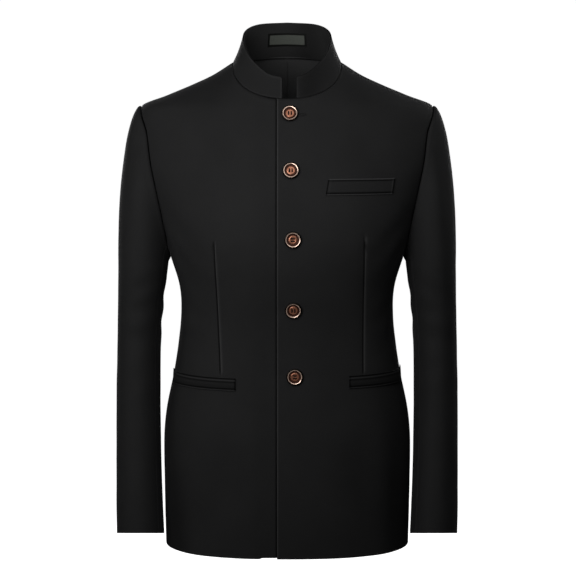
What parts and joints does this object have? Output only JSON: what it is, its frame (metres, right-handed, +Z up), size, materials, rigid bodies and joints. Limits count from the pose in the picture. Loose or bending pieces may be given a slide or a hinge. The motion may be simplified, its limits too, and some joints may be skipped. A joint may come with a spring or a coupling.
{
  "type": "mao jacket",
  "caption": "Tailored stand-collar jacket, hollow and filled out as if worn, buttoned down the front, with welt pockets and waist darts.",
  "frame": {"origin": "midway between the two points where the shoulder seams meet the collar, where the wearer's shoulders carry the jacket", "axes": "+Z up, the front faces -Y, +X is the wearer's left"},
  "size_m": [0.4996, 0.272, 0.7626],
  "materials": {
    "suiting": "smooth black worsted suiting with a soft sheen",
    "lining": "smooth black lining",
    "label": "bare dark woven label",
    "copper": "copper-coloured metal, darkened in its ring"
  },
  "bodies": {
    "root": {"front_left": "suiting", "front_right": "suiting", "side_left": "suiting", "side_right": "suiting", "back_left": "suiting", "back_right": "suiting", "top_sleeve_left": "suiting", "top_sleeve_right": "suiting", "under_sleeve_left": "suiting", "under_sleeve_right": "suiting", "collar_outer": "suiting", "collar_inner": "suiting", "back_lining": "lining", "neck_label": "label", "chest_welt": "suiting", "pocket_welt_left": "suiting", "pocket_welt_right": "suiting", "button_1": "copper", "button_2": "copper", "button_3": "copper", "button_4": "copper", "button_5": "copper"}
  },
  "joints": []
}
